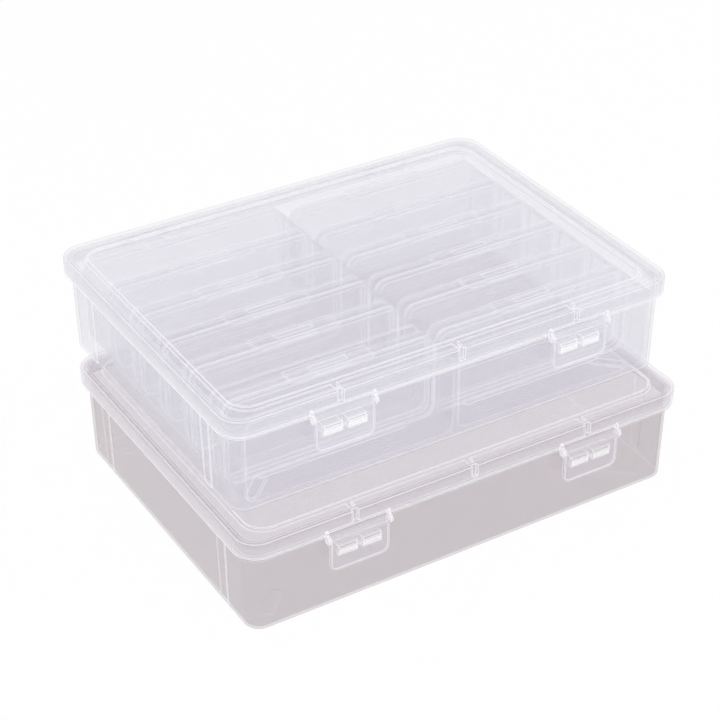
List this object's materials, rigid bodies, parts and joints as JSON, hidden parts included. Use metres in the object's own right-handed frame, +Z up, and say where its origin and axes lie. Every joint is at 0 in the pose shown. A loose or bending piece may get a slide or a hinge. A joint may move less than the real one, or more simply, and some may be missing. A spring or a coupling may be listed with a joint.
{
  "type": "craft storage organizer",
  "caption": "Two stacked clear hinged-lid storage boxes with swing latches, the upper one filled with slim snap cases standing on edge.",
  "frame": {"origin": "middle of the lower box's base, on the plane it rests on", "axes": "+X along the front from left to right, +Y from the latches to the hinges, +Z up"},
  "size_m": [0.3455, 0.2906, 0.147],
  "materials": {
    "lower_box": "clear polypropylene, faintly grey pink, smooth",
    "upper_box": "clear polypropylene, faintly blue, smooth",
    "latches": "clear polypropylene, thicker and milkier than the walls",
    "cases": "clear polypropylene, faintly blue, smooth"
  },
  "bodies": {
    "lower_tub": {"lower_tub": "lower_box"},
    "lower_lid": {"lower_lid": "lower_box"},
    "lower_latch_left": {"lower_latch_left": "latches"},
    "lower_latch_right": {"lower_latch_right": "latches"},
    "upper_tub": {"upper_tub": "upper_box"},
    "upper_lid": {"upper_lid": "upper_box"},
    "upper_latch_left": {"upper_latch_left": "latches"},
    "upper_latch_right": {"upper_latch_right": "latches"},
    "case_left_1": {"case_left_1_base": "cases", "case_left_1_lid": "cases"},
    "case_left_2": {"case_left_2_base": "cases", "case_left_2_lid": "cases"},
    "case_left_3": {"case_left_3_base": "cases", "case_left_3_lid": "cases"},
    "case_left_4": {"case_left_4_base": "cases", "case_left_4_lid": "cases"},
    "case_left_5": {"case_left_5_base": "cases", "case_left_5_lid": "cases"},
    "case_left_6": {"case_left_6_base": "cases", "case_left_6_lid": "cases"},
    "case_right_1": {"case_right_1_base": "cases", "case_right_1_lid": "cases"},
    "case_right_2": {"case_right_2_base": "cases", "case_right_2_lid": "cases"},
    "case_right_3": {"case_right_3_base": "cases", "case_right_3_lid": "cases"},
    "case_right_4": {"case_right_4_base": "cases", "case_right_4_lid": "cases"},
    "case_right_5": {"case_right_5_base": "cases", "case_right_5_lid": "cases"},
    "case_right_6": {"case_right_6_base": "cases", "case_right_6_lid": "cases"}
  },
  "joints": [
    {"name": "lower_lid_hinge", "type": "hinge", "parent": "lower_tub", "child": "lower_lid", "pos_m": [0, 0.13, 0.06125], "axis": [-1, 0, 0], "range_deg": [0, 100]},
    {"name": "lower_latch_left_swing", "type": "hinge", "parent": "lower_lid", "child": "lower_latch_left", "pos_m": [-0.09, -0.128, 0.0595], "axis": [-1, 0, 0], "range_deg": [0, 120]},
    {"name": "lower_latch_right_swing", "type": "hinge", "parent": "lower_lid", "child": "lower_latch_right", "pos_m": [0.09, -0.128, 0.0595], "axis": [-1, 0, 0], "range_deg": [0, 120]},
    {"name": "upper_box_lift", "type": "slide", "parent": "lower_lid", "child": "upper_tub", "axis": [0, 0, 1], "range_m": [0, 0.1]},
    {"name": "upper_lid_hinge", "type": "hinge", "parent": "upper_tub", "child": "upper_lid", "pos_m": [0.0055, 0.156, 0.13475], "axis": [-1, 0, 0], "range_deg": [0, 180]},
    {"name": "upper_latch_left_swing", "type": "hinge", "parent": "upper_lid", "child": "upper_latch_left", "pos_m": [-0.0845, -0.102, 0.133], "axis": [-1, 0, 0], "range_deg": [0, 120]},
    {"name": "upper_latch_right_swing", "type": "hinge", "parent": "upper_lid", "child": "upper_latch_right", "pos_m": [0.0955, -0.102, 0.133], "axis": [-1, 0, 0], "range_deg": [0, 120]},
    {"name": "case_left_1_lift", "type": "slide", "parent": "upper_tub", "child": "case_left_1", "axis": [0, 0, 1], "range_m": [0, 0.0024]},
    {"name": "case_left_2_lift", "type": "slide", "parent": "upper_tub", "child": "case_left_2", "axis": [0, 0, 1], "range_m": [0, 0.0024]},
    {"name": "case_left_3_lift", "type": "slide", "parent": "upper_tub", "child": "case_left_3", "axis": [0, 0, 1], "range_m": [0, 0.0024]},
    {"name": "case_left_4_lift", "type": "slide", "parent": "upper_tub", "child": "case_left_4", "axis": [0, 0, 1], "range_m": [0, 0.0024]},
    {"name": "case_left_5_lift", "type": "slide", "parent": "upper_tub", "child": "case_left_5", "axis": [0, 0, 1], "range_m": [0, 0.0024]},
    {"name": "case_left_6_lift", "type": "slide", "parent": "upper_tub", "child": "case_left_6", "axis": [0, 0, 1], "range_m": [0, 0.0024]},
    {"name": "case_right_1_lift", "type": "slide", "parent": "upper_tub", "child": "case_right_1", "axis": [0, 0, 1], "range_m": [0, 0.0024]},
    {"name": "case_right_2_lift", "type": "slide", "parent": "upper_tub", "child": "case_right_2", "axis": [0, 0, 1], "range_m": [0, 0.0024]},
    {"name": "case_right_3_lift", "type": "slide", "parent": "upper_tub", "child": "case_right_3", "axis": [0, 0, 1], "range_m": [0, 0.0024]},
    {"name": "case_right_4_lift", "type": "slide", "parent": "upper_tub", "child": "case_right_4", "axis": [0, 0, 1], "range_m": [0, 0.0024]},
    {"name": "case_right_5_lift", "type": "slide", "parent": "upper_tub", "child": "case_right_5", "axis": [0, 0, 1], "range_m": [0, 0.0024]},
    {"name": "case_right_6_lift", "type": "slide", "parent": "upper_tub", "child": "case_right_6", "axis": [0, 0, 1], "range_m": [0, 0.0024]}
  ]
}
